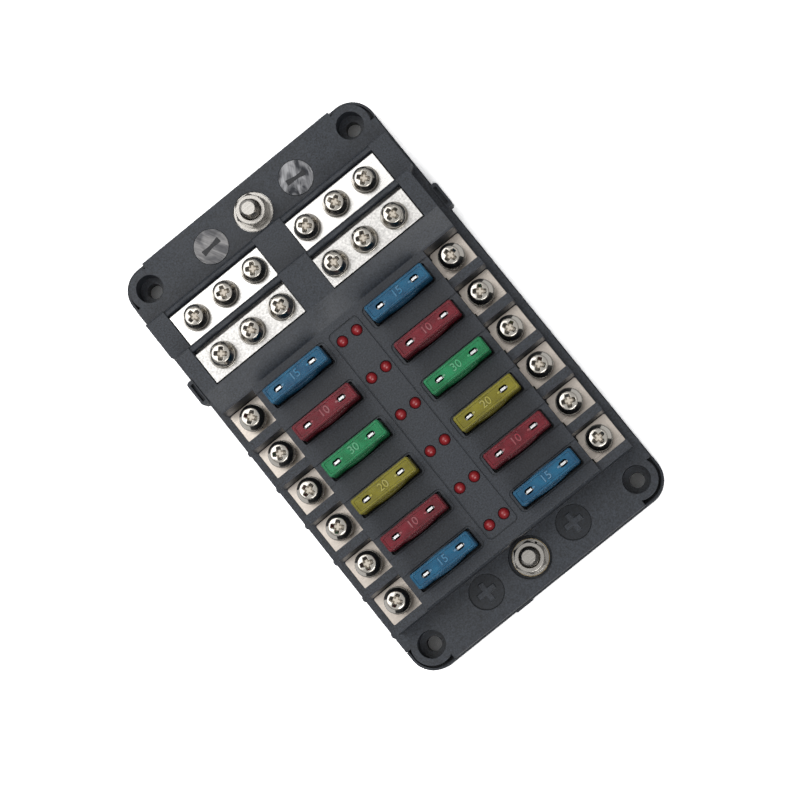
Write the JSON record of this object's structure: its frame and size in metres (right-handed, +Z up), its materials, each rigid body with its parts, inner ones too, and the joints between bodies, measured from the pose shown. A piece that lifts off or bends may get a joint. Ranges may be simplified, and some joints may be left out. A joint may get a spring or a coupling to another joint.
{
  "type": "fuse box",
  "caption": "Uncovered blade fuse box in a black moulded housing, with a stepped negative bus, screw terminals, lamps beside the fuses and a power stud at each end.",
  "frame": {"origin": "middle of the base's underside", "axes": "+Z up out of the base, +Y along the box towards the end with the negative bus, +X across the box"},
  "size_m": [0.0874, 0.1386, 0.0332],
  "materials": {
    "black_plastic": "fine moulded texture",
    "plated_steel": "bright nickel plate",
    "stud_steel": "turned steel",
    "brass": "bare brass",
    "plated_brass": "tin plate over brass",
    "disc_metal": "brushed",
    "fuse_zinc": "stamped zinc",
    "board": "solder mask",
    "red_lens": "clear red lens",
    "fuse_blue": "clear tinted",
    "fuse_red": "clear tinted",
    "fuse_green": "clear tinted",
    "fuse_yellow": "clear tinted"
  },
  "bodies": {
    "box": {"housing": "black_plastic", "base_plate": "black_plastic", "base_screws": "plated_steel", "positive_bus": "brass", "negative_bus": "plated_brass", "positive_stud": "stud_steel", "negative_stud": "stud_steel", "positive_nut": "stud_steel", "negative_nut": "stud_steel", "positive_spring_washer": "stud_steel", "negative_spring_washer": "stud_steel", "positive_flat_washer": "stud_steel", "negative_flat_washer": "stud_steel", "feed_clips": "brass", "terminal_screws": "plated_steel", "bus_screws": "plated_steel", "lamp_board": "board", "lamps": "red_lens", "lamp_resistors": "black_plastic", "minus_disc_left": "disc_metal", "minus_disc_right": "disc_metal", "output_terminal_left_1": "plated_brass", "output_terminal_left_2": "plated_brass", "output_terminal_left_3": "plated_brass", "output_terminal_left_4": "plated_brass", "output_terminal_left_5": "plated_brass", "output_terminal_left_6": "plated_brass", "output_terminal_right_1": "plated_brass", "output_terminal_right_2": "plated_brass", "output_terminal_right_3": "plated_brass", "output_terminal_right_4": "plated_brass", "output_terminal_right_5": "plated_brass", "output_terminal_right_6": "plated_brass"},
    "fuse_left_1": {"fuse_case_left_1": "fuse_blue", "fuse_element_left_1": "fuse_zinc"},
    "fuse_left_2": {"fuse_case_left_2": "fuse_red", "fuse_element_left_2": "fuse_zinc"},
    "fuse_left_3": {"fuse_case_left_3": "fuse_green", "fuse_element_left_3": "fuse_zinc"},
    "fuse_left_4": {"fuse_case_left_4": "fuse_yellow", "fuse_element_left_4": "fuse_zinc"},
    "fuse_left_5": {"fuse_case_left_5": "fuse_red", "fuse_element_left_5": "fuse_zinc"},
    "fuse_left_6": {"fuse_case_left_6": "fuse_blue", "fuse_element_left_6": "fuse_zinc"},
    "fuse_right_1": {"fuse_case_right_1": "fuse_blue", "fuse_element_right_1": "fuse_zinc"},
    "fuse_right_2": {"fuse_case_right_2": "fuse_red", "fuse_element_right_2": "fuse_zinc"},
    "fuse_right_3": {"fuse_case_right_3": "fuse_green", "fuse_element_right_3": "fuse_zinc"},
    "fuse_right_4": {"fuse_case_right_4": "fuse_yellow", "fuse_element_right_4": "fuse_zinc"},
    "fuse_right_5": {"fuse_case_right_5": "fuse_red", "fuse_element_right_5": "fuse_zinc"},
    "fuse_right_6": {"fuse_case_right_6": "fuse_blue", "fuse_element_right_6": "fuse_zinc"}
  },
  "joints": [
    {"name": "fuse_left_1_pull", "type": "slide", "parent": "box", "child": "fuse_left_1", "axis": [0, 0, 1], "range_m": [0, 0.012]},
    {"name": "fuse_left_2_pull", "type": "slide", "parent": "box", "child": "fuse_left_2", "axis": [0, 0, 1], "range_m": [0, 0.012]},
    {"name": "fuse_left_3_pull", "type": "slide", "parent": "box", "child": "fuse_left_3", "axis": [0, 0, 1], "range_m": [0, 0.012]},
    {"name": "fuse_left_4_pull", "type": "slide", "parent": "box", "child": "fuse_left_4", "axis": [0, 0, 1], "range_m": [0, 0.012]},
    {"name": "fuse_left_5_pull", "type": "slide", "parent": "box", "child": "fuse_left_5", "axis": [0, 0, 1], "range_m": [0, 0.012]},
    {"name": "fuse_left_6_pull", "type": "slide", "parent": "box", "child": "fuse_left_6", "axis": [0, 0, 1], "range_m": [0, 0.012]},
    {"name": "fuse_right_1_pull", "type": "slide", "parent": "box", "child": "fuse_right_1", "axis": [0, 0, 1], "range_m": [0, 0.012]},
    {"name": "fuse_right_2_pull", "type": "slide", "parent": "box", "child": "fuse_right_2", "axis": [0, 0, 1], "range_m": [0, 0.012]},
    {"name": "fuse_right_3_pull", "type": "slide", "parent": "box", "child": "fuse_right_3", "axis": [0, 0, 1], "range_m": [0, 0.012]},
    {"name": "fuse_right_4_pull", "type": "slide", "parent": "box", "child": "fuse_right_4", "axis": [0, 0, 1], "range_m": [0, 0.012]},
    {"name": "fuse_right_5_pull", "type": "slide", "parent": "box", "child": "fuse_right_5", "axis": [0, 0, 1], "range_m": [0, 0.012]},
    {"name": "fuse_right_6_pull", "type": "slide", "parent": "box", "child": "fuse_right_6", "axis": [0, 0, 1], "range_m": [0, 0.012]}
  ]
}
